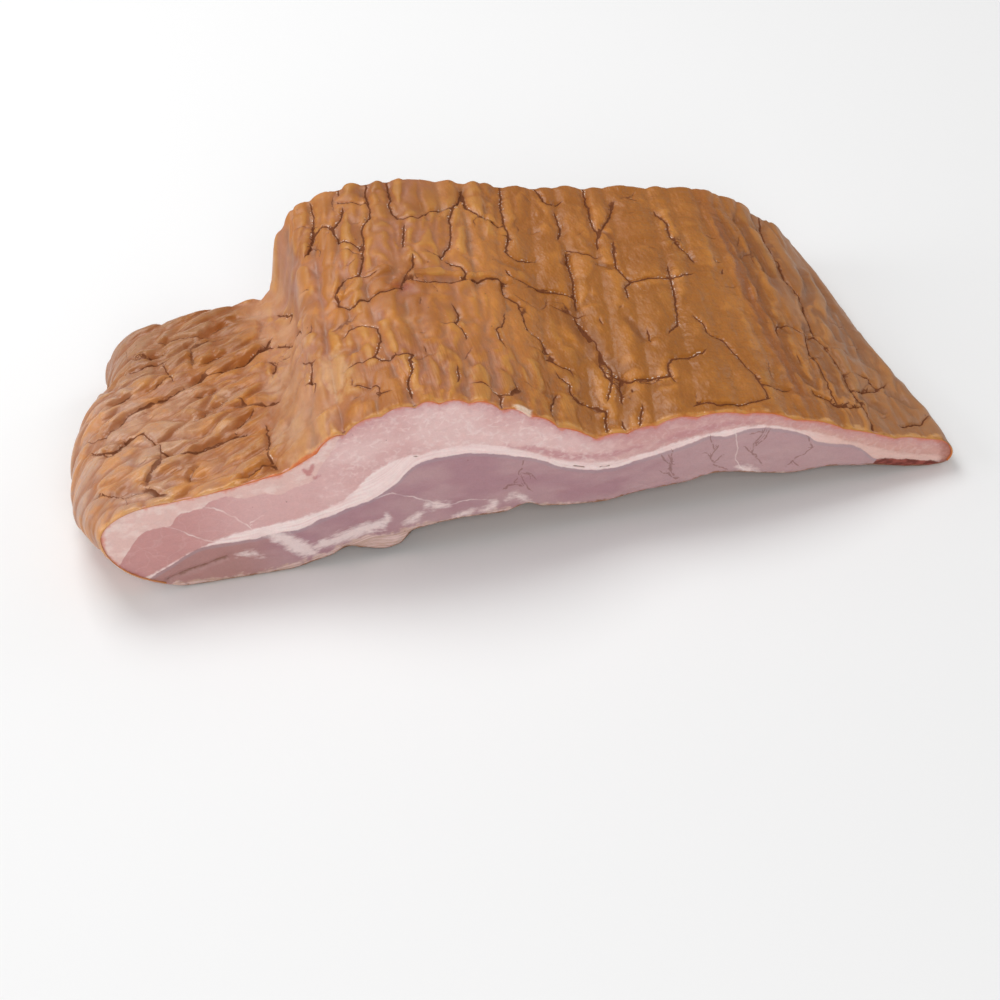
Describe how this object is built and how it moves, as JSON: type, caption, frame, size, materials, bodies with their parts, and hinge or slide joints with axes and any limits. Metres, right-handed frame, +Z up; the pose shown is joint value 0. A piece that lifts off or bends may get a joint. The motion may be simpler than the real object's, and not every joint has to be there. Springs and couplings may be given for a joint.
{
  "type": "smoked pork belly slab",
  "caption": "Slab of smoked pork belly with a cracked golden-brown rind, cut straight along one side to show layers of fat and lean meat; it rests flat, rind up.",
  "frame": {"origin": "on the ground under the middle of the slab's length and depth", "axes": "+X along the straight cut face towards the thin end, +Y from the cut face to the far side, +Z up through the rind"},
  "size_m": [0.332, 0.168, 0.0704],
  "materials": {
    "smoked_rind": "smoked pork rind: golden brown, waxy satin, darker in its cracks",
    "cured_meat": "cured raw belly meat: layers of pale pink fat, salmon lean and mauve lean with white seams, moist satin"
  },
  "bodies": {
    "root": {"pork_belly_slab": "smoked_rind"}
  },
  "joints": []
}
